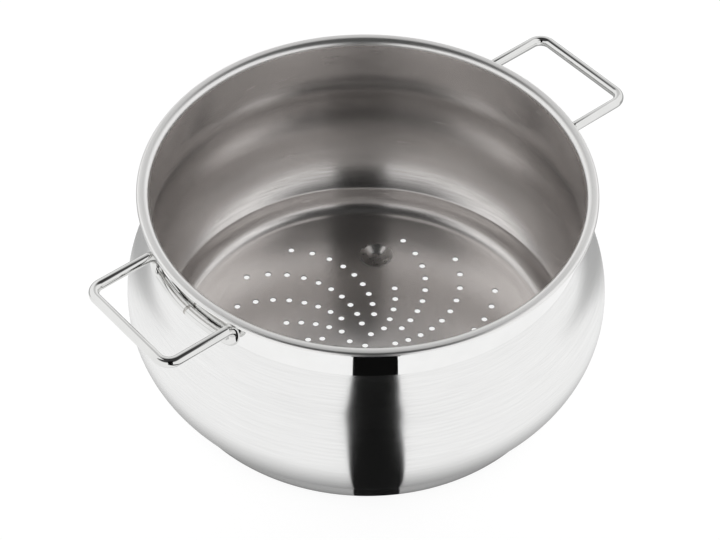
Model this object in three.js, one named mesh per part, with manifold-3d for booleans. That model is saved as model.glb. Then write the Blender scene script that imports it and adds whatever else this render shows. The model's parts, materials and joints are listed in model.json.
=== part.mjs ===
// Steamer pot: a bellied stainless body with a perforated floor and two welded rod handles.
// Millimetres, +Z up. The origin is under the middle of the pot, at the level of its feet.
// The handles lie along X.
import * as THREE from "three";
import { mergeGeometries, mergeVertices } from "three/addons/utils/BufferGeometryUtils.js";
import Module from "manifold-3d";

const wasm = await Module();
wasm.setup();

// Sheet and rim of the body.
const sheetThickness = 1;
const mouthDiameter = 226;
const lipWidth = 3.1;
const lipBendRadius = 3.1;
const lipEdgeRadius = 0.9;
const lipDrop = 0.6;
const flareOut = 0.3;
const flareDepth = 12;

// Neck and belly. Depths are measured down from the top of the rim.
const neckDepth = 22;
const bellyOut = 15;
const bellyDepth = 75.6;
const upperBellyRadius = 61;
const lowerBellyRadius = 47;

// Spigot that enters the mouth of a like pot below, and the floor.
const stackClearance = 0.5;
const spigotTaper = 1.5;
const spigotCornerRadius = 10.5;
const insideDepth = 125;

// Holes in the floor. Each arm of holes is an arc that starts at the middle.
const holeDiameter = 3.5;
const plainBorder = 14.7;
const armCount = 16;
const armSweep = THREE.MathUtils.degToRad(56.2);
const firstRingRadius = 9.25;
const ringPitch = 7.64;
const ringsOnFootArm = 6;
// The first rings are short of room: the first has a hole on every fourth arm, the next on every second.
const innerRingStrides = [4, 2];
const innerRingOffsets = [1, 0];

// Feet pressed down out of the floor, each on an arm that stops short for it.
const footCount = 4;
const footAngle = THREE.MathUtils.degToRad(45);
const footInset = 15.6;
const footTopRadius = 9.3;
const footFlatRadius = 4.8;
const footDepth = 3;

// Handle rod and its bends.
const rodDiameter = 5.5;
const handleWidth = 65.2;
const handleReach = 40.1;
const legClearance = 0.45;
const rodSeatHeight = 4.4;
const cornerBendRadius = 7;
const wallBendRadius = 5.5;
const straightEnd = 12;

// Welds, and the gap that a welded piece keeps to its neighbours.
const weldClearance = 0.3;
const seamThickness = 0.9;
const seamCrown = 0.3;
const beadDiameter = 2.4;
const beadLength = 8;
const beadAngle = THREE.MathUtils.degToRad(6);

// How finely round shapes are divided, and how far a cutter stands past the face that it cuts.
const bodySegments = 56;
const holeSides = 8;
const footSegments = 14;
const rodSides = 12;
const rodStepLength = 2.6;
const bendShare = 0.49;
const beadSides = 8;
const beadEndSteps = 3;
const arcTolerance = 0.2;
const cutOverlap = 0.5;

// Levels and radii that follow from the sizes above. Radii of the body are at mid sheet.
const halfSheet = sheetThickness / 2;
const floorUnder = footDepth;
const floorTop = floorUnder + sheetThickness;
const floorLevel = floorUnder + halfSheet;
const rimTop = floorTop + insideDepth;
const lipLevel = rimTop - halfSheet;
const neckFootLevel = rimTop - neckDepth;
const bellyLevel = rimTop - bellyDepth;
const neckRadius = mouthDiameter / 2 + halfSheet;
const neckOuterRadius = neckRadius + halfSheet;
const lipInnerRadius = neckRadius + flareOut + lipBendRadius;
const lipEdgeLine = lipInnerRadius + lipWidth - halfSheet;
const lipFoot = lipLevel - lipEdgeRadius - lipDrop;
const bellyRadius = neckRadius + bellyOut;
const spigotRadius = mouthDiameter / 2 - stackClearance - halfSheet;

// The belly below its widest ring runs down and in to the top of the spigot.
const lowerCentreRadius = bellyRadius - lowerBellyRadius;
const spigotAngle = -Math.acos((spigotRadius - lowerCentreRadius) / lowerBellyRadius);
const spigotTop = bellyLevel + lowerBellyRadius * Math.sin(spigotAngle);

// The spigot's wall leans in by its taper and turns into the flat floor round its corner.
const wallLean = Math.atan2(spigotTaper, spigotTop - floorLevel);
const cornerLength = spigotCornerRadius * Math.tan(Math.PI / 4 - wallLean / 2);
const flatFloorRadius = spigotRadius - spigotTaper - cornerLength;

// The field of holes and the circle of feet follow the flat of the floor.
const holeFieldRadius = flatFloorRadius - plainBorder;
const ringCount = Math.floor((holeFieldRadius - firstRingRadius) / ringPitch) + 1;
const footCircleRadius = holeFieldRadius - footInset;

const rodRadius = rodDiameter / 2;
const beadRadius = beadDiameter / 2;
const seatRadius = neckOuterRadius + weldClearance + rodRadius;
const legLevel = lipFoot - legClearance - rodRadius;
const seatLevel = neckFootLevel + rodSeatHeight;

const polishedSteel = { color: 0xd6d5d2, roughness: 0.12, metalness: 1 };
const brushedSteel = { color: 0xc6c4c0, roughness: 0.32, metalness: 1 };
const weldSteel = { color: 0x8f8b86, roughness: 0.5, metalness: 1 };

// Points along an arc in the plane of the profile, both ends included.
function arcPoints(centreRadius, centreLevel, radius, from, to) {
  const stepAngle = 2 * Math.acos(1 - arcTolerance / radius);
  const steps = Math.max(2, Math.ceil(Math.abs(to - from) / stepAngle));
  const points = [];
  for (let i = 0; i <= steps; i++) {
    const angle = from + ((to - from) * i) / steps;
    const r = centreRadius + radius * Math.cos(angle);
    const z = centreLevel + radius * Math.sin(angle);
    points.push(new THREE.Vector2(r, z));
  }
  return points;
}

// Mid line of the sheet, from the middle of the floor out and up, over the lip and down its edge.
function sheetMidLine() {
  // A hollow arc leaves the neck and meets the belly's upper arc, which ends at the widest ring.
  const rise = neckFootLevel - bellyLevel;
  const hollowRadius = (rise * rise + bellyOut * bellyOut) / (2 * bellyOut) - upperBellyRadius;
  const hollowCentreRadius = neckRadius + hollowRadius;
  const upperCentreRadius = bellyRadius - upperBellyRadius;
  const meetAngle = Math.atan2(rise, hollowCentreRadius - upperCentreRadius);

  // The flare is one wide arc from the neck to the bend that turns the sheet out to the lip.
  const bendLevel = lipLevel - lipBendRadius;
  const flareLevel = rimTop - flareDepth;
  const bendOut = lipInnerRadius - neckRadius;
  const bendRise = bendLevel - flareLevel;
  const flareSquares = bendOut * bendOut - lipBendRadius * lipBendRadius + bendRise * bendRise;
  const flareRadius = flareSquares / (2 * flareOut);
  const flareCentreRadius = neckRadius + flareRadius;
  const flareAngle = Math.PI - Math.atan2(bendRise, flareCentreRadius - lipInnerRadius);

  const cornerLevel = floorLevel + spigotCornerRadius;
  return [
    new THREE.Vector2(0, floorLevel),
    ...arcPoints(flatFloorRadius, cornerLevel, spigotCornerRadius, -Math.PI / 2, -wallLean),
    ...arcPoints(lowerCentreRadius, bellyLevel, lowerBellyRadius, spigotAngle, 0),
    ...arcPoints(upperCentreRadius, bellyLevel, upperBellyRadius, 0, meetAngle).slice(1),
    ...arcPoints(hollowCentreRadius, neckFootLevel, hollowRadius, meetAngle - Math.PI, -Math.PI).slice(1),
    ...arcPoints(flareCentreRadius, flareLevel, flareRadius, Math.PI, flareAngle),
    ...arcPoints(lipInnerRadius, bendLevel, lipBendRadius, flareAngle, Math.PI / 2).slice(1),
    ...arcPoints(lipEdgeLine - lipEdgeRadius, lipLevel - lipEdgeRadius, lipEdgeRadius, Math.PI / 2, 0),
    new THREE.Vector2(lipEdgeLine, lipFoot),
  ];
}

// A line moved to its right by a distance, with mitred corners.
function offsetLine(line, distance) {
  const rights = line.slice(1).map((point, i) => {
    const along = point.clone().sub(line[i]).normalize();
    return new THREE.Vector2(along.y, -along.x);
  });
  return line.map((point, i) => {
    const before = rights[Math.max(i - 1, 0)];
    const after = rights[Math.min(i, rights.length - 1)];
    const middle = before.clone().add(after).normalize();
    return point.clone().addScaledVector(middle, distance / middle.dot(after));
  });
}

// three.js turns a lathe shape about Y; this stands it along Z.
function latheAlongZ(points, segments) {
  return new THREE.LatheGeometry(points, segments).rotateX(Math.PI / 2);
}

// A closed solid for joining and cutting, with shared corners merged and empty triangles dropped.
function toSolid(geometry) {
  const bare = new THREE.BufferGeometry();
  bare.setAttribute("position", geometry.getAttribute("position"));
  bare.setIndex(geometry.getIndex());
  const merged = mergeVertices(bare, 1e-4);
  const index = merged.getIndex().array;
  const corners = [];
  for (let i = 0; i < index.length; i += 3) {
    const triangle = [index[i], index[i + 1], index[i + 2]];
    if (new Set(triangle).size === 3) corners.push(...triangle);
  }
  const vertProperties = new Float32Array(merged.getAttribute("position").array);
  const triVerts = new Uint32Array(corners);
  return new wasm.Manifold(new wasm.Mesh({ numProp: 3, vertProperties, triVerts }));
}

function toGeometry(solid) {
  const { vertProperties, triVerts } = solid.getMesh();
  const geometry = new THREE.BufferGeometry();
  geometry.setAttribute("position", new THREE.BufferAttribute(vertProperties, 3));
  geometry.setIndex(new THREE.BufferAttribute(triVerts, 1));
  geometry.computeVertexNormals();
  return geometry;
}

// The four feet as cones whose wide end is at a level and reaches a little above it.
function footCones(topLevel, above) {
  const profile = [
    new THREE.Vector2(0, topLevel - footDepth),
    new THREE.Vector2(footFlatRadius, topLevel - footDepth),
    new THREE.Vector2(footTopRadius, topLevel),
    new THREE.Vector2(footTopRadius, topLevel + above),
    new THREE.Vector2(0, topLevel + above),
  ];
  const feet = [];
  for (let i = 0; i < footCount; i++) {
    const angle = footAngle + (i * 2 * Math.PI) / footCount;
    const foot = latheAlongZ(profile, footSegments);
    foot.translate(footCircleRadius * Math.cos(angle), footCircleRadius * Math.sin(angle), 0);
    feet.push(foot);
  }
  return mergeGeometries(feet);
}

// How far an arm has turned when it reaches a radius: an arc through the middle of the floor.
function armTurn(radius) {
  return Math.asin((Math.sin(armSweep) * radius) / holeFieldRadius);
}

// Cutters for the hole in the middle and for the holes along every arm.
function holeCutters() {
  const height = sheetThickness + 2 * cutOverlap;
  const hole = new THREE.CylinderGeometry(holeDiameter / 2, holeDiameter / 2, height, holeSides);
  hole.rotateX(Math.PI / 2);
  hole.translate(0, 0, floorLevel);
  const holes = [hole.clone()];
  const firstArmAngle = footAngle - armTurn(footCircleRadius);
  for (let ring = 0; ring < ringCount; ring++) {
    const radius = firstRingRadius + ring * ringPitch;
    const stride = innerRingStrides[ring] ?? 1;
    const offset = innerRingOffsets[ring] ?? 0;
    for (let arm = offset; arm < armCount; arm += stride) {
      const meetsFoot = arm % (armCount / footCount) === 0;
      if (meetsFoot && ring >= ringsOnFootArm) continue;
      const angle = firstArmAngle + (arm * 2 * Math.PI) / armCount + armTurn(radius);
      const place = [radius * Math.cos(angle), radius * Math.sin(angle), 0];
      holes.push(hole.clone().translate(...place));
    }
  }
  return mergeGeometries(holes);
}

// The body: one drawn sheet with its rim, belly, spigot, feet and holes.
function makeBody() {
  const midLine = sheetMidLine();
  const outside = offsetLine(midLine, halfSheet);
  const inside = offsetLine(midLine, -halfSheet).reverse();
  const shell = toSolid(latheAlongZ([...outside, ...inside], bodySegments));
  const feet = toSolid(footCones(floorUnder, halfSheet));
  const hollows = toSolid(footCones(floorTop, cutOverlap));
  const holes = toSolid(holeCutters());
  return toGeometry(shell.add(feet).subtract(hollows).subtract(holes));
}

// A quarter or part turn between two straight stretches of rod.
class BendCurve extends THREE.Curve {
  constructor(centre, start, side, angle) {
    super();
    Object.assign(this, { centre, start, side, angle });
  }

  getPoint(t, target = new THREE.Vector3()) {
    const turn = this.angle * t;
    target.copy(this.centre).addScaledVector(this.start, Math.cos(turn));
    return target.addScaledVector(this.side, Math.sin(turn));
  }
}

// A rod's centre line through corner points, each corner after the first rounded by its bend radius.
function bentLine(points, radii) {
  const path = new THREE.CurvePath();
  let from = points[0];
  for (let i = 1; i < points.length - 1; i++) {
    const corner = points[i];
    const before = corner.clone().sub(points[i - 1]);
    const after = points[i + 1].clone().sub(corner);
    const angle = before.angleTo(after);
    const half = Math.tan(angle / 2);
    // A bend takes less than half of either stretch that it joins.
    const room = bendShare * Math.min(before.length(), after.length());
    const radius = Math.min(radii[i - 1], room / half);
    before.normalize();
    after.normalize();
    const start = corner.clone().addScaledVector(before, -radius * half);
    const end = corner.clone().addScaledVector(after, radius * half);
    const inward = after.clone().addScaledVector(before, -before.dot(after)).normalize();
    const centre = start.clone().addScaledVector(inward, radius);
    const spoke = start.clone().sub(centre);
    path.add(new THREE.LineCurve3(from, start));
    path.add(new BendCurve(centre, spoke, before.multiplyScalar(radius), angle));
    from = end;
  }
  path.add(new THREE.LineCurve3(from, points[points.length - 1]));
  return path;
}

// A part of the rod's inner stretch, which lies round the neck. Angles are from the handle's middle.
function seatArc(from, to) {
  const spoke = new THREE.Vector3(seatRadius * Math.cos(from), seatRadius * Math.sin(from), 0);
  const side = new THREE.Vector3(-spoke.y, spoke.x, 0).multiplyScalar(Math.sign(to - from));
  return new BendCurve(new THREE.Vector3(0, 0, seatLevel), spoke, side, Math.abs(to - from));
}

// One handle, as it lies on the +X side: a rod bent to a loop, with its ends at the seam.
function makeHandle() {
  const halfWidth = handleWidth / 2;
  const barOut = neckOuterRadius + handleReach;
  const endAngle = Math.asin((seamThickness / 2 + weldClearance) / (seatRadius - rodRadius));
  // The inner stretch leaves its arc straight, and is then bent up along the neck to the leg.
  const wallRadius = Math.hypot(seatRadius, straightEnd);
  const arcEnd = Math.asin(halfWidth / wallRadius) - Math.atan2(straightEnd, seatRadius);
  const arcOut = seatRadius * Math.cos(arcEnd);
  const arcSide = seatRadius * Math.sin(arcEnd);
  const wallOut = Math.sqrt(wallRadius * wallRadius - halfWidth * halfWidth);
  const points = [
    new THREE.Vector3(arcOut, -arcSide, seatLevel),
    new THREE.Vector3(wallOut, -halfWidth, seatLevel),
    new THREE.Vector3(wallOut, -halfWidth, legLevel),
    new THREE.Vector3(barOut, -halfWidth, legLevel),
    new THREE.Vector3(barOut, halfWidth, legLevel),
    new THREE.Vector3(wallOut, halfWidth, legLevel),
    new THREE.Vector3(wallOut, halfWidth, seatLevel),
    new THREE.Vector3(arcOut, arcSide, seatLevel),
  ];
  const wallBends = [wallBendRadius, wallBendRadius];
  const cornerBends = [cornerBendRadius, cornerBendRadius];
  const loop = bentLine(points, [...wallBends, ...cornerBends, ...wallBends]);
  const path = new THREE.CurvePath();
  path.curves.push(seatArc(-endAngle, -arcEnd), ...loop.curves, seatArc(arcEnd, endAngle));
  const section = new THREE.Shape().absarc(0, 0, rodRadius, 0, 2 * Math.PI);
  const steps = Math.round(path.getLength() / rodStepLength);
  // A full circle is divided into twice the number of curve segments.
  const options = { steps, curveSegments: rodSides / 2, extrudePath: path };
  return new THREE.ExtrudeGeometry(section, options);
}

// The weld between the rod's two ends: a short round slug, a little proud of the rod.
function makeSeam() {
  const radius = rodRadius + seamCrown;
  const seam = new THREE.CylinderGeometry(radius, radius, seamThickness, rodSides);
  return seam.translate(seatRadius, 0, seatLevel);
}

// A bead in the crevice under the rod, to one side of the seam.
function makeBead(side) {
  const outOfLine = rodRadius - beadRadius;
  const apart = rodRadius + weldClearance + beadRadius;
  const drop = Math.sqrt(apart * apart - outOfLine * outOfLine);
  const bead = new THREE.CapsuleGeometry(beadRadius, beadLength - beadDiameter, beadEndSteps, beadSides);
  bead.translate(neckOuterRadius + weldClearance + beadRadius, 0, seatLevel - drop);
  return bead.rotateZ(side * beadAngle);
}

function addPiece(group, name, geometry, finish) {
  const piece = new THREE.Mesh(geometry, new THREE.MeshStandardMaterial(finish));
  piece.name = name;
  group.add(piece);
}

const steamerPot = new THREE.Group();
addPiece(steamerPot, "pot_body", makeBody(), brushedSteel);

for (const [name, turn] of [["right_handle", 0], ["left_handle", Math.PI]]) {
  const handle = new THREE.Group();
  handle.rotation.z = turn;
  addPiece(handle, name, makeHandle(), polishedSteel);
  addPiece(handle, `${name}_seam_weld`, makeSeam(), weldSteel);
  addPiece(handle, `${name}_bead_weld_a`, makeBead(-1), weldSteel);
  addPiece(handle, `${name}_bead_weld_b`, makeBead(1), weldSteel);
  steamerPot.add(handle);
}

export default steamerPot;
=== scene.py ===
import json
from math import acos, asin, atan2, cos, hypot, pi, radians, sin, sqrt, tan

import bpy
from mathutils import Matrix, Vector

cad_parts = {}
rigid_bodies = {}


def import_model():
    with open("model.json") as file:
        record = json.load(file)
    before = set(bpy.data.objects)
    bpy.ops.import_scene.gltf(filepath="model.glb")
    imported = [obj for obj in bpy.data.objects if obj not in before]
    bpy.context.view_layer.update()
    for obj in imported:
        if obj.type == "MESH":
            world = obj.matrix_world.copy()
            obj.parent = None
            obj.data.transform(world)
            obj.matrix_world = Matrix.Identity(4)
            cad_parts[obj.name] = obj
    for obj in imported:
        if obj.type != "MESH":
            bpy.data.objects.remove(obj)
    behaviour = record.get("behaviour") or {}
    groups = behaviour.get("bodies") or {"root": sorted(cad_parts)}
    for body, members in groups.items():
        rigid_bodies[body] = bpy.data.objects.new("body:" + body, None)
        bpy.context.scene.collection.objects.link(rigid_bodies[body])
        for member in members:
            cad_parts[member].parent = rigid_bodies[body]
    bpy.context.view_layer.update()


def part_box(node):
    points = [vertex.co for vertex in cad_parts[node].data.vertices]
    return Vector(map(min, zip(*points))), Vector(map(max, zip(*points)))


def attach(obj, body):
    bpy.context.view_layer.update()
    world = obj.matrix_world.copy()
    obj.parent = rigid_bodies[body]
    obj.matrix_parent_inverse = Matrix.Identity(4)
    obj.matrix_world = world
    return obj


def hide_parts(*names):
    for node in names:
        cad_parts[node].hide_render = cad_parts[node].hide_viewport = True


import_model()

# Camera: a long lens that looks down into the pot, between its two handles.
# Its place is given from the middle of the rim, and its aim by small turns from there.
MM = 0.001
rim_centre = Vector((0, 0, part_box("pot_body")[1].z))
camera_heading = radians(-40.6)
camera_elevation = radians(43.73)
camera_distance = 1193.9 * MM
aim_below_centre = radians(2.17)
aim_aside = radians(0.23)
camera_roll = radians(0.78)
sensor_width_mm = 36
lens_mm = 115
camera_data = bpy.data.cameras.new("photo_camera")
camera_data.sensor_width = sensor_width_mm
camera_data.lens = lens_mm
camera = bpy.data.objects.new("photo_camera", camera_data)
bpy.context.scene.collection.objects.link(camera)
camera_back = Vector((0, -cos(camera_elevation), sin(camera_elevation))) * camera_distance
camera_place = rim_centre + Matrix.Rotation(camera_heading, 3, "Z") @ camera_back
camera_tilt = pi / 2 - camera_elevation - aim_below_centre
camera.matrix_world = (
    Matrix.Translation(camera_place)
    @ Matrix.Rotation(camera_heading + aim_aside, 4, "Z")
    @ Matrix.Rotation(camera_tilt, 4, "X")
    @ Matrix.Rotation(camera_roll, 4, "Z")
)
bpy.context.scene.camera = camera

# Pot body: one stainless sheet, drawn and spun to a lip, a straight neck and a full belly.
# The short wall under the belly drops into the mouth of a pot below.
# Holes are punched through the flat floor, and four feet are pressed down out of it.
sheet = 1 * MM
mouth_radius = 113 * MM
lip_width = 3.1 * MM
lip_bend = 3.1 * MM
lip_edge = 0.9 * MM
lip_drop = 0.6 * MM
flare_out = 0.3 * MM
flare_depth = 12 * MM
neck_depth = 22 * MM
belly_out = 15 * MM
belly_depth = 75.6 * MM
upper_belly_radius = 61 * MM
lower_belly_radius = 47 * MM
stack_clearance = 0.5 * MM
spigot_taper = 1.5 * MM
spigot_corner = 10.5 * MM
step_rounding = 2.2 * MM
foot_depth = 3 * MM
turn_steps = 192
merge_reach = 0.001 * MM

rim_top = rim_centre.z
floor_level = foot_depth + sheet / 2
lip_level = rim_top - sheet / 2
neck_foot = rim_top - neck_depth
belly_level = rim_top - belly_depth
neck_radius = mouth_radius + sheet / 2
lip_inner = neck_radius + flare_out + lip_bend
lip_outer = lip_inner + lip_width - sheet / 2
lip_foot = lip_level - lip_edge - lip_drop
belly_radius = neck_radius + belly_out
spigot_radius = mouth_radius - stack_clearance - sheet / 2


def arc(centre_r, centre_z, radius, start, end, steps):
    """Points along an arc of the profile, as (radius, level), both ends included."""
    turns = [start + (end - start) * i / steps for i in range(steps + 1)]
    return [(centre_r + radius * cos(t), centre_z + radius * sin(t)) for t in turns]


def rounded(before, corner, after, radius, steps):
    """Points of the arc that rounds a corner between two straight runs of the profile."""
    corner = Vector(corner)
    back = (Vector(before) - corner).normalized()
    on = (Vector(after) - corner).normalized()
    half = back.angle(on) / 2
    centre = corner + (back + on).normalized() * radius / sin(half)
    start = corner + back * radius / tan(half) - centre
    turn = start.angle_signed(corner + on * radius / tan(half) - centre)
    return [tuple(centre + Matrix.Rotation(-turn * i / steps, 2) @ start) for i in range(steps + 1)]


# The lower belly ends at the step, where the spigot's wall starts.
lower_centre = belly_radius - lower_belly_radius
step_angle = -acos((spigot_radius - lower_centre) / lower_belly_radius)
step_level = belly_level + lower_belly_radius * sin(step_angle)
wall_lean = atan2(spigot_taper, step_level - floor_level)
flat_floor_radius = spigot_radius - spigot_taper - spigot_corner * tan(pi / 4 - wall_lean / 2)

# The hollow under the neck and the upper belly are two arcs that meet on one slope.
rise = neck_foot - belly_level
hollow_radius = (rise ** 2 + belly_out ** 2) / (2 * belly_out) - upper_belly_radius
hollow_centre = neck_radius + hollow_radius
upper_centre = belly_radius - upper_belly_radius
slope = atan2(rise, hollow_centre - upper_centre)

# The flare is one wide arc from the neck to the bend that turns the sheet out to the lip.
flare_level = rim_top - flare_depth
bend_level = lip_level - lip_bend
bend_rise = bend_level - flare_level
flare_radius = ((lip_inner - neck_radius) ** 2 - lip_bend ** 2 + bend_rise ** 2) / (2 * flare_out)
flare_centre = neck_radius + flare_radius
flare_end = pi - atan2(bend_rise, flare_centre - lip_inner)

# The profile runs up from the floor, each arc with enough steps to look round.
floor_edge_ring = 3 * MM
step_clear = 0.2 * MM
corner_steps, step_steps, lower_belly_steps, upper_belly_steps = 14, 5, 26, 12
hollow_steps, flare_steps, bend_steps, edge_steps = 10, 8, 7, 7
corner_level = floor_level + spigot_corner
corner_arc = arc(flat_floor_radius, corner_level, spigot_corner, -pi / 2, -wall_lean, corner_steps)
lower_arc = arc(lower_centre, belly_level, lower_belly_radius, step_angle, 0, lower_belly_steps)
step_arc = rounded(corner_arc[-1], lower_arc[0], lower_arc[1], step_rounding, step_steps)
profile = [(flat_floor_radius - floor_edge_ring, floor_level)]
profile += corner_arc + step_arc
profile += [point for point in lower_arc if point[1] > step_arc[-1][1] + step_clear]
profile += arc(upper_centre, belly_level, upper_belly_radius, 0, slope, upper_belly_steps)[1:]
profile += arc(hollow_centre, neck_foot, hollow_radius, slope - pi, -pi, hollow_steps)[1:]
profile += arc(flare_centre, flare_level, flare_radius, pi, flare_end, flare_steps)
profile += arc(lip_inner, bend_level, lip_bend, flare_end, pi / 2, bend_steps)[1:]
profile += arc(lip_outer - lip_edge, lip_level - lip_edge, lip_edge, pi / 2, 0, edge_steps)
profile += [(lip_outer, lip_foot)]


def start_mesh(name):
    """A new mesh object with one vertex, left in edit mode with the vertex selected."""
    bpy.ops.object.select_all(action="DESELECT")
    bpy.ops.mesh.primitive_plane_add(size=MM)
    piece = bpy.context.object
    piece.name = name
    piece.data.name = name
    bpy.ops.object.mode_set(mode="EDIT")
    bpy.ops.mesh.select_mode(type="VERT")
    bpy.ops.mesh.select_all(action="SELECT")
    bpy.ops.mesh.merge(type="CENTER")
    return piece


def draw_chain(points):
    """Extrudes the selected vertex along points of a profile, in the plane of X and Z."""
    radius, level = points[0]
    bpy.ops.transform.translate(value=(radius, 0, level))
    for (r0, z0), (r1, z1) in zip(points, points[1:]):
        bpy.ops.mesh.extrude_region_move(TRANSFORM_OT_translate={"value": (r1 - r0, 0, z1 - z0)})


body = start_mesh("pot_body_shell")
draw_chain(profile)
bpy.ops.mesh.select_all(action="SELECT")
bpy.ops.mesh.spin(steps=turn_steps, angle=2 * pi, center=(0, 0, 0), axis=(0, 0, 1))
bpy.ops.mesh.select_all(action="SELECT")
bpy.ops.mesh.remove_doubles(threshold=merge_reach)

# One foot is a shallow dish, turned about its own middle, and copied round the floor.
foot_circle = 70.73 * MM
foot_collar = 11.2 * MM
foot_edge = 9.8 * MM
foot_shoulder = 2.2 * MM
foot_flat = 1.36 * MM
foot_sole_round = 9 * MM
foot_count = 4
foot_heading = radians(45)
foot_slope = radians(28)
foot_steps = 48
shoulder_steps, sole_steps = 5, 7
sole_level = sheet / 2
shoulder_level = floor_level - foot_shoulder
sole_centre = sole_level + foot_sole_round
foot_profile = [(foot_collar, floor_level)]
foot_profile += arc(
    foot_edge, shoulder_level, foot_shoulder, pi / 2, pi / 2 + foot_slope, shoulder_steps
)
foot_profile += arc(
    foot_flat, sole_centre, foot_sole_round, -pi / 2 + foot_slope, -pi / 2, sole_steps
)
foot_profile += [(0, sole_level)]
foot_places = []
for i in range(foot_count):
    heading = foot_heading + 2 * pi * i / foot_count
    place = Vector((foot_circle * cos(heading), foot_circle * sin(heading), 0))
    foot_places.append(place)
    bpy.ops.mesh.select_all(action="DESELECT")
    bpy.ops.mesh.primitive_plane_add(size=MM, location=place)
    bpy.ops.mesh.merge(type="CENTER")
    draw_chain(foot_profile)
    bpy.ops.mesh.select_linked()
    bpy.ops.mesh.spin(steps=foot_steps, angle=2 * pi, center=place, axis=(0, 0, 1))
    bpy.ops.mesh.select_linked()
    bpy.ops.mesh.remove_doubles(threshold=merge_reach)

# Holes lie on arms that curve out from the middle of the floor, and an arm stops short of a foot.
hole_radius = 1.75 * MM
hole_sides = 16
hole_field = 86.33 * MM
arm_count = 16
arm_sweep = radians(56.2)
first_ring = 9.25 * MM
ring_pitch = 7.64 * MM
ring_count = 11
rings_on_foot_arm = 6
inner_ring_arms = {0: range(1, arm_count, 4), 1: range(0, arm_count, 2)}


def arm_turn(radius):
    """How far an arm of holes has turned when it reaches a radius."""
    return asin(sin(arm_sweep) * radius / hole_field)


hole_places = [(0, 0)]
for ring in range(ring_count):
    radius = first_ring + ring * ring_pitch
    for arm in inner_ring_arms.get(ring, range(arm_count)):
        meets_foot = arm % (arm_count // foot_count) == 0
        if meets_foot and ring >= rings_on_foot_arm:
            continue
        heading = foot_heading - arm_turn(foot_circle) + 2 * pi * arm / arm_count + arm_turn(radius)
        hole_places.append((radius * cos(heading), radius * sin(heading)))
for x, y in hole_places:
    bpy.ops.mesh.primitive_circle_add(
        vertices=hole_sides, radius=hole_radius, location=(x, y, floor_level)
    )

# The flat of the floor is filled in between the spigot's corner, the feet and the holes.
floor_tolerance = 0.1 * MM
bpy.ops.mesh.select_mode(type="EDGE")
bpy.ops.mesh.select_all(action="DESELECT")
bpy.ops.mesh.select_non_manifold(
    use_wire=True, use_boundary=True, use_multi_face=False, use_non_contiguous=False, use_verts=False
)
bpy.ops.object.mode_set(mode="OBJECT")
for edge in body.data.edges:
    ends = [body.data.vertices[i].co.z for i in edge.vertices]
    edge.select = edge.select and max(ends) < floor_level + floor_tolerance
for vertex in body.data.vertices:
    vertex.select = False
for face in body.data.polygons:
    face.select = False
bpy.ops.object.mode_set(mode="EDIT")
bpy.ops.mesh.fill()
bpy.ops.mesh.select_all(action="SELECT")
bpy.ops.mesh.normals_make_consistent(inside=False)
bpy.ops.object.mode_set(mode="OBJECT")

# The sheet gets its thickness, and its cut edges lose their burr.
deburr_width = 0.2 * MM
deburr_angle = radians(50)
body_crease = radians(28)
thickness = body.modifiers.new("sheet_thickness", "SOLIDIFY")
thickness.thickness = sheet
thickness.offset = 0
thickness.use_even_offset = True
deburr = body.modifiers.new("deburred_edges", "BEVEL")
deburr.width = deburr_width
deburr.segments = 1
deburr.limit_method = "ANGLE"
deburr.angle_limit = deburr_angle
for modifier in (thickness, deburr):
    bpy.ops.object.modifier_apply(modifier=modifier.name)
bpy.ops.object.shade_smooth_by_angle(angle=body_crease)


def new_steel(name, colour, roughness):
    """A steel material; returns it with its nodes, its links and its shader."""
    material = bpy.data.materials.new(name)
    material.use_nodes = True
    nodes, links = material.node_tree.nodes, material.node_tree.links
    shader = nodes["Principled BSDF"]
    shader.inputs["Base Color"].default_value = (*colour, 1)
    shader.inputs["Metallic"].default_value = 1
    shader.inputs["Roughness"].default_value = roughness
    return material, nodes, links, shader


# Noise keeps mostly between these two values, so they stand for its dark and its light.
noise_low, noise_high = 0.3, 0.7


def spread(nodes, links, value, socket, low, high):
    """Feeds a texture's value to a shader's socket, spread from low to high."""
    reach = nodes.new("ShaderNodeMapRange")
    reach.inputs["From Min"].default_value = noise_low
    reach.inputs["From Max"].default_value = noise_high
    reach.inputs["To Min"].default_value = low
    reach.inputs["To Max"].default_value = high
    links.new(value, reach.inputs["Value"])
    links.new(reach.outputs["Result"], socket)


def tint(nodes, links, value, socket, dark, light):
    """Feeds a texture's value to a colour socket, from a dark colour to a light one."""
    ramp = nodes.new("ShaderNodeValToRGB")
    ramp.color_ramp.elements[0].position = noise_low
    ramp.color_ramp.elements[0].color = (*dark, 1)
    ramp.color_ramp.elements[1].position = noise_high
    ramp.color_ramp.elements[1].color = (*light, 1)
    links.new(value, ramp.inputs["Fac"])
    links.new(ramp.outputs["Color"], socket)


line_wander = 5
line_depth = 0.02 * MM
quarter_turn = 0.25


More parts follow.
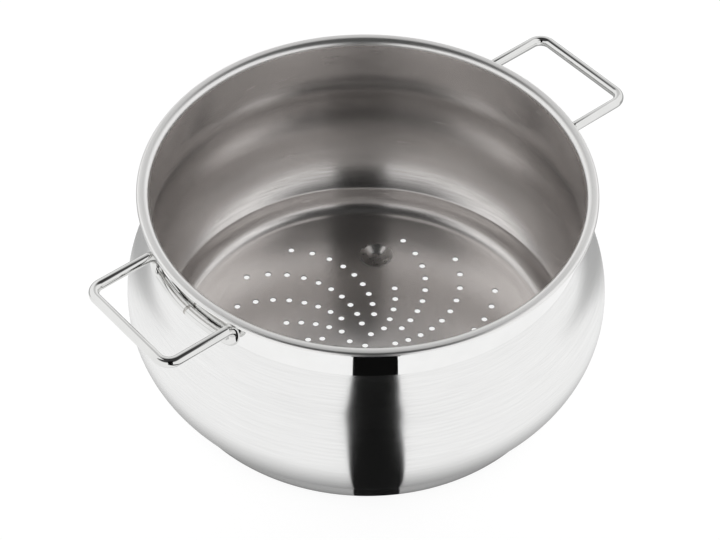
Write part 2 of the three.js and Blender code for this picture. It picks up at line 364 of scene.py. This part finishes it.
def brushed_steel(name, dark, light, roughness, anisotropy, lines_per_metre, relief):
    """Steel with fine lines that run round the pot's axis, as turning and brushing leave them."""
    middle = [(a + b) / 2 for a, b in zip(dark, light)]
    material, nodes, links, shader = new_steel(name, middle, roughness)
    shader.inputs["Anisotropic"].default_value = anisotropy
    shader.inputs["Anisotropic Rotation"].default_value = quarter_turn
    tangent = nodes.new("ShaderNodeTangent")
    tangent.direction_type = "RADIAL"
    tangent.axis = "Z"
    links.new(tangent.outputs["Tangent"], shader.inputs["Tangent"])
    # The noise changes fast across the lines, with level and radius, and slowly round the axis.
    place = nodes.new("ShaderNodeTexCoord")
    flat = nodes.new("ShaderNodeVectorMath")
    flat.operation = "MULTIPLY"
    flat.inputs[1].default_value = (1, 1, 0)
    links.new(place.outputs["Object"], flat.inputs[0])
    radius = nodes.new("ShaderNodeVectorMath")
    radius.operation = "LENGTH"
    links.new(flat.outputs["Vector"], radius.inputs[0])
    heading = nodes.new("ShaderNodeVectorMath")
    heading.operation = "NORMALIZE"
    links.new(flat.outputs["Vector"], heading.inputs[0])
    level = nodes.new("ShaderNodeVectorMath")
    level.operation = "MULTIPLY"
    level.inputs[1].default_value = (0, 0, lines_per_metre)
    links.new(place.outputs["Object"], level.inputs[0])
    turn = nodes.new("ShaderNodeVectorMath")
    turn.operation = "MULTIPLY_ADD"
    turn.inputs[1].default_value = (line_wander,) * 3
    links.new(heading.outputs["Vector"], turn.inputs[0])
    links.new(level.outputs["Vector"], turn.inputs[2])
    across = nodes.new("ShaderNodeMath")
    across.operation = "MULTIPLY"
    across.inputs[1].default_value = lines_per_metre
    links.new(radius.outputs["Value"], across.inputs[0])
    lines = nodes.new("ShaderNodeTexNoise")
    lines.noise_dimensions = "4D"
    lines.inputs["Scale"].default_value = 1
    lines.inputs["Detail"].default_value = 3
    lines.inputs["Roughness"].default_value = 0.65
    links.new(turn.outputs["Vector"], lines.inputs["Vector"])
    links.new(across.outputs["Value"], lines.inputs["W"])
    tint(nodes, links, lines.outputs["Fac"], shader.inputs["Base Color"], dark, light)
    duller, glossier = roughness * 1.1, roughness * 0.9
    spread(nodes, links, lines.outputs["Fac"], shader.inputs["Roughness"], duller, glossier)
    bump = nodes.new("ShaderNodeBump")
    bump.inputs["Strength"].default_value = relief
    bump.inputs["Distance"].default_value = line_depth
    links.new(lines.outputs["Fac"], bump.inputs["Height"])
    links.new(bump.outputs["Normal"], shader.inputs["Normal"])
    return material


clouds_per_metre = 60


def polished_steel(name, dark, light, roughness):
    """Mirror-polished steel, with the faint cloudiness that a polishing wheel leaves."""
    middle = [(a + b) / 2 for a, b in zip(dark, light)]
    material, nodes, links, shader = new_steel(name, middle, roughness)
    place = nodes.new("ShaderNodeTexCoord")
    clouds = nodes.new("ShaderNodeTexNoise")
    clouds.inputs["Scale"].default_value = clouds_per_metre
    clouds.inputs["Detail"].default_value = 4
    links.new(place.outputs["Object"], clouds.inputs["Vector"])
    tint(nodes, links, clouds.outputs["Fac"], shader.inputs["Base Color"], dark, light)
    duller, glossier = roughness * 1.5, roughness * 0.6
    spread(nodes, links, clouds.outputs["Fac"], shader.inputs["Roughness"], duller, glossier)
    return material


def give_finish(piece, material, test):
    """Gives a material to the faces of a piece whose centre and normal pass a test."""
    piece.data.materials.append(material)
    piece.active_material_index = len(piece.data.materials) - 1
    bpy.ops.object.mode_set(mode="EDIT")
    bpy.ops.mesh.select_mode(type="FACE")
    bpy.ops.mesh.select_all(action="DESELECT")
    bpy.ops.object.mode_set(mode="OBJECT")
    for face in piece.data.polygons:
        face.select = test(face.center, face.normal)
    bpy.ops.object.mode_set(mode="EDIT")
    bpy.ops.object.material_slot_assign()
    bpy.ops.object.mode_set(mode="OBJECT")


# Each zone of the sheet has its own finish, worked on the lathe after drawing.
inside_satin = brushed_steel(
    "satin_inside", dark=(0.7, 0.677, 0.662), light=(0.82, 0.798, 0.785),
    roughness=0.25, anisotropy=0.75, lines_per_metre=900, relief=0.06,
)
floor_satin = brushed_steel(
    "satin_floor", dark=(0.78, 0.755, 0.74), light=(0.84, 0.815, 0.8),
    roughness=0.23, anisotropy=0.7, lines_per_metre=900, relief=0.03,
)
belly_brushed = brushed_steel(
    "brushed_belly", dark=(0.82, 0.82, 0.815), light=(0.88, 0.88, 0.875),
    roughness=0.2, anisotropy=0.93, lines_per_metre=1600, relief=0.15,
)
lip_satin = brushed_steel(
    "satin_lip", dark=(0.8, 0.795, 0.785), light=(0.86, 0.855, 0.845),
    roughness=0.3, anisotropy=0.3, lines_per_metre=1800, relief=0.05,
)
neck_polish = polished_steel(
    "polished_neck", dark=(0.85, 0.85, 0.845), light=(0.89, 0.89, 0.885), roughness=0.035
)
foot_polish = polished_steel(
    "polished_foot", dark=(0.66, 0.64, 0.625), light=(0.72, 0.7, 0.68), roughness=0.24
)
least_outward = 0.05
lip_top_slope = 0.1
lip_under_slope = -0.5


def outward(centre, normal):
    """How far a face looks away from the pot's axis, from 1 on an outer wall to -1 on an inner one."""
    return (centre.x * normal.x + centre.y * normal.y) / max(hypot(centre.x, centre.y), MM)


def on_foot(centre):
    """Whether a place lies in one of the pressed feet."""
    return any(hypot(centre.x - p.x, centre.y - p.y) < foot_edge for p in foot_places)


def on_floor(centre):
    """Whether a place lies as low as the floor."""
    return centre.z < floor_level + sheet


def on_belly(centre, normal):
    """Whether a face lies on the outside, below the neck."""
    return floor_level < centre.z < neck_foot and outward(centre, normal) > least_outward


def on_neck(centre, normal):
    """Whether a face lies on the outside of the neck."""
    return centre.z > neck_foot and outward(centre, normal) > least_outward


def on_lip(centre, normal):
    """Whether a face lies on the top of the lip or on its cut edge below."""
    cut_edge = centre.z < lip_foot + sheet and normal.z < lip_under_slope
    return centre.z > bend_level and (normal.z > lip_top_slope or cut_edge)


give_finish(body, inside_satin, lambda c, n: True)
give_finish(body, floor_satin, lambda c, n: on_floor(c) and not on_foot(c))
give_finish(body, foot_polish, lambda c, n: on_floor(c) and on_foot(c))
give_finish(body, belly_brushed, on_belly)
give_finish(body, neck_polish, on_neck)
give_finish(body, lip_satin, on_lip)
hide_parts("pot_body")
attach(body, "root")

# Right handle: a round stainless rod, bent to a loop and polished.
# Its inner stretch lies round the neck, is bent up at both ends, and turns out into the two legs.
# The rod is drawn from its end at the seam to the middle of the bar, and then mirrored.
rod_radius = 2.75 * MM
neck_outer = neck_radius + sheet / 2
weld_gap = 0.3 * MM
seat_radius = neck_outer + weld_gap + rod_radius
seat_rise = 4.4 * MM
seat_level = neck_foot + seat_rise
leg_clearance = 0.45 * MM
leg_level = lip_foot - leg_clearance - rod_radius
half_width = 32.6 * MM
handle_reach = 40.1 * MM
bar_out = neck_outer + handle_reach
corner_bend = 7 * MM
wall_bend = 5.5 * MM
straight_end = 12 * MM
seam_half_gap = 0.75 * MM
rod_sides = 28
rod_crease = radians(40)
mirror_reach = 0.01 * MM
seat_steps, wall_steps, bar_corner_steps = 10, 12, 14
end_angle = asin(seam_half_gap / (seat_radius - rod_radius))
wall_radius = hypot(seat_radius, straight_end)
arc_end = asin(half_width / wall_radius) - atan2(straight_end, seat_radius)
wall_out = sqrt(wall_radius ** 2 - half_width ** 2)
along_seat = Vector((-sin(arc_end), cos(arc_end), 0))
out, side, up = Vector((1, 0, 0)), Vector((0, 1, 0)), Vector((0, 0, 1))


def run_straight(way):
    """Draws the rod on from its open end."""
    bpy.ops.mesh.extrude_region_move(TRANSFORM_OT_translate={"value": way})


def run_bend(centre, axis, angle, steps):
    """Bends the rod on from its open end, by a turn about an axis that follows the right hand."""
    bpy.ops.mesh.spin(steps=steps, angle=angle, center=centre, axis=-axis)


bpy.ops.object.select_all(action="DESELECT")
bpy.ops.mesh.primitive_circle_add(
    vertices=rod_sides,
    radius=rod_radius,
    location=(seat_radius * cos(end_angle), seat_radius * sin(end_angle), seat_level),
    rotation=(-pi / 2, 0, end_angle),
)
right_rod = bpy.context.object
right_rod.name = "right_handle_rod"
bpy.ops.object.transform_apply(location=True, rotation=True)
bpy.ops.object.mode_set(mode="EDIT")
bpy.ops.mesh.select_all(action="SELECT")
run_bend(Vector((0, 0, seat_level)), up, arc_end - end_angle, seat_steps)
run_straight(along_seat * (straight_end - wall_bend))
foot_of_rise = Vector((wall_out, half_width, seat_level))
rise_centre = foot_of_rise - along_seat * wall_bend + up * wall_bend
run_bend(rise_centre, along_seat.cross(up), pi / 2, wall_steps)
run_straight(up * (leg_level - seat_level - 2 * wall_bend))
top_of_rise = Vector((wall_out, half_width, leg_level))
run_bend(top_of_rise - up * wall_bend + out * wall_bend, side, pi / 2, wall_steps)
run_straight(out * (bar_out - wall_out - wall_bend - corner_bend))
corner_centre = Vector((bar_out - corner_bend, half_width - corner_bend, leg_level))
run_bend(corner_centre, -up, pi / 2, bar_corner_steps)
run_straight(-side * (half_width - corner_bend))
bpy.ops.mesh.select_all(action="SELECT")
bpy.ops.mesh.symmetrize(direction="POSITIVE_Y", threshold=mirror_reach)
bpy.ops.mesh.select_all(action="SELECT")
bpy.ops.mesh.fill_holes(sides=0)
bpy.ops.mesh.select_all(action="SELECT")
bpy.ops.mesh.normals_make_consistent(inside=False)
bpy.ops.object.mode_set(mode="OBJECT")
bpy.ops.object.shade_smooth_by_angle(angle=rod_crease)
rod_polish = polished_steel(
    "polished_rod", dark=(0.75, 0.75, 0.74), light=(0.8, 0.8, 0.79), roughness=0.06
)
right_rod.data.materials.append(rod_polish)
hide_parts("right_handle")
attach(right_rod, "root")

# Right handle's seam weld: the bead that closes the rod's loop, where its two ends meet.
# It is dressed level with the rod, and is left a little uneven.
seam_sides = 28
seam_unevenness = 0.06 * MM
seam_seed = 4
seam_crease = radians(60)
# Half the bead's section, as radius and place along the rod in millimetres; the rest mirrors it.
seam_profile = [(0, -0.6), (2.45, -0.6), (2.62, -0.72), (2.7, -0.5), (2.74, -0.2)]
seam_profile = seam_profile + [(r, -y) for r, y in reversed(seam_profile)]
right_seam = start_mesh("right_handle_seam_bead")
draw_chain([(r * MM, y * MM) for r, y in seam_profile])
bpy.ops.mesh.select_all(action="SELECT")
bpy.ops.mesh.spin(steps=seam_sides, angle=2 * pi, center=(0, 0, 0), axis=(0, 0, 1))
bpy.ops.mesh.select_all(action="SELECT")
bpy.ops.mesh.remove_doubles(threshold=merge_reach)
bpy.ops.transform.vertex_random(offset=seam_unevenness, seed=seam_seed)
bpy.ops.transform.rotate(value=pi / 2, orient_axis="X", center_override=(0, 0, 0))
bpy.ops.transform.translate(value=(seat_radius, 0, seat_level))
bpy.ops.mesh.normals_make_consistent(inside=False)
bpy.ops.object.mode_set(mode="OBJECT")
bpy.ops.object.shade_smooth_by_angle(angle=seam_crease)

weld_middle, weld_dark, weld_light = (0.61, 0.6, 0.57), (0.52, 0.5, 0.47), (0.7, 0.69, 0.67)
weld_dull, weld_roughness, weld_gloss = 0.45, 0.34, 0.25
grains_per_metre = 900
grain_depth = 0.1 * MM


def weld_steel(name):
    """Dull, grainy weld metal with a trace of straw-coloured heat tint."""
    material, nodes, links, shader = new_steel(name, weld_middle, weld_roughness)
    place = nodes.new("ShaderNodeTexCoord")
    grains = nodes.new("ShaderNodeTexNoise")
    grains.inputs["Scale"].default_value = grains_per_metre
    grains.inputs["Detail"].default_value = 4
    links.new(place.outputs["Object"], grains.inputs["Vector"])
    tint(nodes, links, grains.outputs["Fac"], shader.inputs["Base Color"], weld_dark, weld_light)
    spread(nodes, links, grains.outputs["Fac"], shader.inputs["Roughness"], weld_dull, weld_gloss)
    bump = nodes.new("ShaderNodeBump")
    bump.inputs["Strength"].default_value = 0.4
    bump.inputs["Distance"].default_value = grain_depth
    links.new(grains.outputs["Fac"], bump.inputs["Height"])
    links.new(bump.outputs["Normal"], shader.inputs["Normal"])
    return material


weld_metal = weld_steel("weld_metal")
right_seam.data.materials.append(weld_metal)
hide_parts("right_handle_seam_weld")
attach(right_seam, "root")

# Right handle's bead welds: two short beads in the crevice under the rod, to both sides of the seam.
# They hold the rod to the neck, and show the ripples of a weld laid step by step.
bead_radius = 1.2 * MM
bead_length = 8 * MM
bead_angle = radians(6)
bead_sides = 20
bead_crease = radians(50)
ripple_count = 7
ripple = bead_length / ripple_count
bead_apart = rod_radius + weld_gap + bead_radius
bead_level = seat_level - sqrt(bead_apart ** 2 - (rod_radius - bead_radius) ** 2)
crown_reach = 0.62 * bead_length
# A ripple's section, as shares of the crown's height and of the ripple's length from its middle.
ripple_shape = [(0.9, -0.38), (1, 0.05), (0.96, 0.34)]
right_beads = {}
for letter, turn in (("a", -bead_angle), ("b", bead_angle)):
    bead = start_mesh("right_handle_ripple_bead_" + letter)
    chain = [(0, -bead_length / 2)]
    for i in range(ripple_count):
        middle = -bead_length / 2 + (i + 0.5) * ripple
        crown = bead_radius * sqrt(1 - (abs(middle) / crown_reach) ** 2)
        chain += [(crown * share, middle + along * ripple) for share, along in ripple_shape]
    chain += [(0, bead_length / 2)]
    draw_chain(chain)
    bpy.ops.mesh.select_all(action="SELECT")
    bpy.ops.mesh.spin(steps=bead_sides, angle=2 * pi, center=(0, 0, 0), axis=(0, 0, 1))
    bpy.ops.mesh.select_all(action="SELECT")
    bpy.ops.mesh.remove_doubles(threshold=merge_reach)
    bpy.ops.transform.rotate(value=pi / 2, orient_axis="X", center_override=(0, 0, 0))
    bpy.ops.transform.translate(value=(neck_outer + weld_gap + bead_radius, 0, bead_level))
    bpy.ops.transform.rotate(value=-turn, orient_axis="Z", center_override=(0, 0, 0))
    bpy.ops.mesh.normals_make_consistent(inside=False)
    bpy.ops.object.mode_set(mode="OBJECT")
    bpy.ops.object.shade_smooth_by_angle(angle=bead_crease)
    bead.data.materials.append(weld_metal)
    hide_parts("right_handle_bead_weld_" + letter)
    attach(bead, "root")
    right_beads[letter] = bead

# Left handle: the same rod loop, with the same welds, on the other side of the pot.
# Each piece is a copy of its fellow on the right, turned half round the pot's axis.
left_pieces = [
    (right_rod, "left_handle_rod", "left_handle", "polished_rod"),
    (right_seam, "left_handle_seam_bead", "left_handle_seam_weld", "weld_metal"),
    (right_beads["a"], "left_handle_ripple_bead_a", "left_handle_bead_weld_a", "weld_metal"),
    (right_beads["b"], "left_handle_ripple_bead_b", "left_handle_bead_weld_b", "weld_metal"),
]
for fellow, name, node, slot in left_pieces:
    bpy.ops.object.select_all(action="DESELECT")
    piece = bpy.data.objects.new(name, fellow.data.copy())
    piece.data.name = name
    bpy.context.scene.collection.objects.link(piece)
    piece.select_set(True)
    bpy.context.view_layer.objects.active = piece
    bpy.ops.transform.rotate(value=pi, orient_axis="Z", center_override=(0, 0, 0))
    bpy.ops.object.transform_apply(location=True, rotation=True)
    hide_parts(node)
    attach(piece, "root")

# Studio table: a wide white sheet under the pot.
# To the camera it is white by itself, with a light shadow; in the steel it glows white, with painted
# shade close to the pot and a painted shadow behind it.
table_size = 12
lit_white, shaded_grey = 0.8, 0.2
seen_glow = 0.9
# How far the painted shade near the pot reaches, and how steeply it darkens.
shadow_reach = 0.05
shadow_depth = 1.2
# Where the painted shadow behind the pot starts and ends, and how dark it gets.
painted_shadow_start, painted_shadow_end, painted_shadow_tone = 0.045, 0.1, 0.45
view_back = Matrix.Rotation(camera_heading, 3, "Z") @ Vector((0, 1, 0))
bpy.ops.object.select_all(action="DESELECT")
bpy.ops.mesh.primitive_plane_add(size=table_size)
table = bpy.context.object
table.name = "studio_table"
paper = bpy.data.materials.new("white_table")
paper.use_nodes = True
nodes, links = paper.node_tree.nodes, paper.node_tree.links
nodes.remove(nodes["Principled BSDF"])
ray = nodes.new("ShaderNodeLightPath")
lit = nodes.new("ShaderNodeBsdfDiffuse")
lit.inputs["Color"].default_value = (lit_white, lit_white, lit_white, 1)
shaded = nodes.new("ShaderNodeBsdfDiffuse")
shaded.inputs["Color"].default_value = (shaded_grey, shaded_grey, shaded_grey, 1)
glow = nodes.new("ShaderNodeEmission")
glow.inputs["Strength"].default_value = seen_glow
seen = nodes.new("ShaderNodeAddShader")
links.new(shaded.outputs[0], seen.inputs[0])
links.new(glow.outputs[0], seen.inputs[1])
# Painted shade in the steel: the table's glow darkens close to the pot by ambient occlusion, as if the
# pot's shade fell there.
painted_contact_shade = nodes.new("ShaderNodeAmbientOcclusion")
painted_contact_shade.inputs["Distance"].default_value = shadow_reach
depth = nodes.new("ShaderNodeMath")
depth.operation = "POWER"
depth.inputs[1].default_value = shadow_depth
links.new(painted_contact_shade.outputs["AO"], depth.inputs[0])
# Painted shadow in the steel: the table's glow fades darker behind the pot, where the pot's shadow
# would fall.
place = nodes.new("ShaderNodeTexCoord")
behind = nodes.new("ShaderNodeVectorMath")
behind.operation = "DOT_PRODUCT"
behind.inputs[1].default_value = view_back
links.new(place.outputs["Object"], behind.inputs[0])
painted_shadow_fade = nodes.new("ShaderNodeMapRange")
painted_shadow_fade.inputs["From Min"].default_value = painted_shadow_start
painted_shadow_fade.inputs["From Max"].default_value = painted_shadow_end
painted_shadow_fade.inputs["To Min"].default_value = 1
painted_shadow_fade.inputs["To Max"].default_value = painted_shadow_tone
links.new(behind.outputs["Value"], painted_shadow_fade.inputs["Value"])
tone = nodes.new("ShaderNodeMath")
tone.operation = "MULTIPLY"
links.new(depth.outputs["Value"], tone.inputs[0])
links.new(painted_shadow_fade.outputs["Result"], tone.inputs[1])
# The table as the steel sees it: a glow whose strength carries the painted shade and the painted
# shadow.
mirrored = nodes.new("ShaderNodeEmission")
links.new(tone.outputs["Value"], mirrored.inputs["Strength"])
surface = lit
looks = [("Is Glossy Ray", mirrored), ("Is Transmission Ray", seen), ("Is Camera Ray", seen)]
for sort, look in looks:
    choice = nodes.new("ShaderNodeMixShader")
    links.new(ray.outputs[sort], choice.inputs["Fac"])
    links.new(surface.outputs[0], choice.inputs[1])
    links.new(look.outputs[0], choice.inputs[2])
    surface = choice
links.new(surface.outputs[0], nodes["Material Output"].inputs["Surface"])
table.data.materials.append(paper)

# Black card: the dark gap between the studio's white walls, on the camera's side.
# It is a wedge on the table that points at the pot, and rises behind the camera in two wider steps.
# It shows only as a reflection in the steel.
card_middle = -0.9483
card_lift = 1 * MM
wedge_stretch = (0.3, 0.9033, 1)
base_beyond = -1
lower_rise, lower_widening = 0.9, 1.25
upper_rise, upper_widening = 2, 1.5
card_turn = radians(4)
card_tone = 0.008
bpy.ops.object.select_all(action="DESELECT")
bpy.ops.mesh.primitive_circle_add(
    vertices=3, radius=1, fill_type="NGON", location=(0, card_middle, card_lift)
)
card = bpy.context.object
card.name = "black_card"
bpy.ops.transform.resize(value=wedge_stretch)
bpy.ops.object.transform_apply(location=True, scale=True)
bpy.ops.object.mode_set(mode="EDIT")
bpy.ops.mesh.select_mode(type="EDGE")
bpy.ops.mesh.select_all(action="DESELECT")
bpy.ops.object.mode_set(mode="OBJECT")
for edge in card.data.edges:
    edge.select = all(card.data.vertices[i].co.y < base_beyond for i in edge.vertices)
bpy.ops.object.mode_set(mode="EDIT")
for card_rise, widening in ((lower_rise, lower_widening), (upper_rise, upper_widening)):
    bpy.ops.mesh.extrude_region_move(TRANSFORM_OT_translate={"value": (0, 0, card_rise)})
    bpy.ops.transform.resize(value=(widening, 1, 1))
bpy.ops.object.mode_set(mode="OBJECT")
bpy.ops.transform.rotate(
    value=-camera_heading - card_turn, orient_axis="Z", center_override=(0, 0, 0)
)
bpy.ops.object.transform_apply(location=True, rotation=True)
card_black = bpy.data.materials.new("matt_black")
card_black.use_nodes = True
card_shader = card_black.node_tree.nodes["Principled BSDF"]
card_shader.inputs["Base Color"].default_value = (card_tone, card_tone, card_tone, 1)
card_shader.inputs["Roughness"].default_value = 1
card_shader.inputs["Specular IOR Level"].default_value = 0
card.data.materials.append(card_black)
card.visible_camera = False
card.visible_diffuse = False
card.visible_shadow = False
card.visible_transmission = False

# Softboxes: two white panels that hang over the pot, to the left and right, with a dark gap between.
# They light the table and show in the steel, and the camera looks in through the gap.
panel_aside, panel_back, panel_height = 0.7, 0.185, 0.5
panel_depth = 0.63
panel_white = bpy.data.materials.new("lit_panel")
panel_white.use_nodes = True
nodes, links = panel_white.node_tree.nodes, panel_white.node_tree.links
nodes.remove(nodes["Principled BSDF"])
panel_light = nodes.new("ShaderNodeEmission")
panel_light.inputs["Strength"].default_value = 1
links.new(panel_light.outputs[0], nodes["Material Output"].inputs["Surface"])
for name, aside in (("left_softbox", -panel_aside), ("right_softbox", panel_aside)):
    bpy.ops.object.select_all(action="DESELECT")
    bpy.ops.mesh.primitive_plane_add(size=1, location=(aside, panel_back, panel_height))
    panel = bpy.context.object
    panel.name = name
    bpy.ops.transform.resize(value=(1, panel_depth, 1))
    bpy.ops.transform.rotate(value=-camera_heading, orient_axis="Z", center_override=(0, 0, 0))
    bpy.ops.object.transform_apply(location=True, rotation=True, scale=True)
    panel.data.materials.append(panel_white)
    panel.visible_camera = False
    panel.visible_shadow = False

# Studio light: white walls all round, greyer high up behind the pot, and a dark ceiling.
# The ceiling comes down a little lower on the camera's side, and all the light is soft.
ceiling_lean = radians(8)
grey_rise = radians(50)
ceiling_stops = [(0.65, 1), (0.72, 0.55), (0.78, 0.12), (0.88, 0.05)]
grey_stops = [(0.8, 1), (0.98, 0.68)]
world = bpy.data.worlds.new("studio")
world.use_nodes = True
nodes, links = world.node_tree.nodes, world.node_tree.links
direction = nodes.new("ShaderNodeTexCoord")


def tone_along(axis, stops):
    """A grey tone that changes with how far a direction leans to an axis, by its stops."""
    lean = nodes.new("ShaderNodeVectorMath")
    lean.operation = "DOT_PRODUCT"
    lean.inputs[1].default_value = axis
    links.new(direction.outputs["Generated"], lean.inputs[0])
    ramp = nodes.new("ShaderNodeValToRGB")
    while len(ramp.color_ramp.elements) < len(stops):
        ramp.color_ramp.elements.new(0.5)
    for element, (position, tone) in zip(ramp.color_ramp.elements, stops):
        element.position = position
        element.color = (tone, tone, tone, 1)
    links.new(lean.outputs["Value"], ramp.inputs["Fac"])
    return ramp.outputs["Color"]


walls = nodes.new("ShaderNodeVectorMath")
walls.operation = "MULTIPLY"
ceiling_axis = up * cos(ceiling_lean) - view_back * sin(ceiling_lean)
links.new(tone_along(ceiling_axis, ceiling_stops), walls.inputs[0])
grey_axis = view_back * cos(grey_rise) + up * sin(grey_rise)
links.new(tone_along(grey_axis, grey_stops), walls.inputs[1])
links.new(walls.outputs["Vector"], nodes["Background"].inputs["Color"])
bpy.context.scene.world = world
bpy.context.scene.view_settings.view_transform = "Standard"
